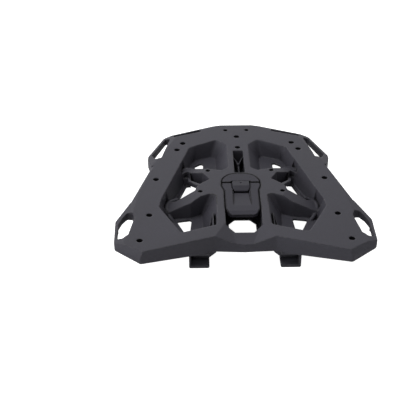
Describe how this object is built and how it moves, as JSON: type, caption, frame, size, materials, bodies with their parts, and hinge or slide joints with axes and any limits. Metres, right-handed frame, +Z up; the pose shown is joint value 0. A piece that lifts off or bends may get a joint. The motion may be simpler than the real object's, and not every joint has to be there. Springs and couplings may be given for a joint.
{
  "type": "top case mounting plate",
  "caption": "Moulded mounting plate for a motorbike top case, with strap loops, fixing holes, two rack hooks and a latch with a lever and a push button.",
  "frame": {"origin": "centre of the plate's outline, on the level of the feet of the hooks", "axes": "+X to the right across the plate, +Y from the hooked near edge to the far edge, +Z up out of the deck"},
  "size_m": [0.3448, 0.335, 0.05],
  "materials": {
    "plate_plastic": "matt black glass-filled moulding",
    "latch_plastic": "matt black moulding",
    "button_plastic": "satin black moulding",
    "housing_plastic": "matt black moulding",
    "bolt_plastic": "satin black moulding",
    "steel": "zinc plated",
    "spring_steel": "drawn wire"
  },
  "bodies": {
    "plate": {"plate_body": "plate_plastic", "latch_cap": "latch_plastic", "hinge_pins": "steel", "latch_housing": "housing_plastic", "housing_screws": "steel", "cap_screws": "steel", "bolt_springs": "spring_steel"},
    "lever": {"release_lever": "latch_plastic", "button_spring": "spring_steel"},
    "button": {"lock_button": "button_plastic", "button_clip": "steel"},
    "bolt": {"latch_bolt": "bolt_plastic"}
  },
  "joints": [
    {"name": "lever_lift", "type": "hinge", "parent": "plate", "child": "lever", "pos_m": [0, -0.0085, 0.0415], "axis": [-1, 0, 0], "range_deg": [0, 28], "stiffness_Nm_per_rad": 0.15, "springref_deg": -14.32},
    {"name": "bolt_slide", "type": "slide", "parent": "plate", "child": "bolt", "axis": [0, -1, 0], "range_m": [0, 0.0092]},
    {"name": "button_press", "type": "slide", "parent": "lever", "child": "button", "axis": [0, 0, -1], "range_m": [0, 0.0025], "stiffness_N_per_m": 500, "springref_m": -0.002, "deforming": ["button_spring"]}
  ],
  "couplings": [
    {"joint": "bolt_slide", "follows": "lever_lift", "m_per_rad": 0.01825}
  ]
}
